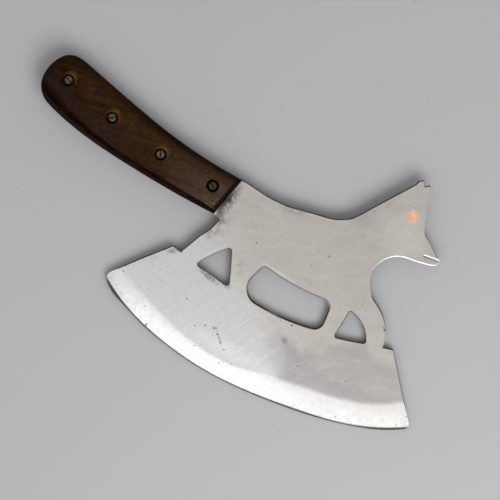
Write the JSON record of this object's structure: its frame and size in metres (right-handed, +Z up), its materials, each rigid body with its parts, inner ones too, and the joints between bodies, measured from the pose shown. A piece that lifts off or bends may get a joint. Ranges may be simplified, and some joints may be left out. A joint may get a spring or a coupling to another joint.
{
  "type": "cleaver",
  "caption": "Hand-made chopping cleaver with a curved edge, a steel plate cut in the outline of a standing animal, a copper eye and dark wooden handle scales held by slotted screws.",
  "frame": {"origin": "middle of the bounding box, at floor level, with the cleaver lying on its rear face as it rests", "axes": "+X from the butt of the handle to the toe of the edge, +Y from the edge to the animal's back and ears, +Z up from the floor, out of the shown face"},
  "size_m": [0.265, 0.148, 0.018],
  "materials": {
    "blade_steel": "worn satin, ground bright along the edge",
    "copper": "filed copper",
    "dark_wood": "dark, oiled and worn",
    "screw_metal": "tarnished"
  },
  "bodies": {
    "root": {"blade": "blade_steel", "eye_rivet": "copper", "front_scale": "dark_wood", "rear_scale": "dark_wood", "handle_screw_1": "screw_metal", "handle_screw_2": "screw_metal", "handle_screw_3": "screw_metal", "handle_screw_4": "screw_metal", "screw_nut_1": "screw_metal", "screw_nut_2": "screw_metal", "screw_nut_3": "screw_metal", "screw_nut_4": "screw_metal"}
  },
  "joints": []
}
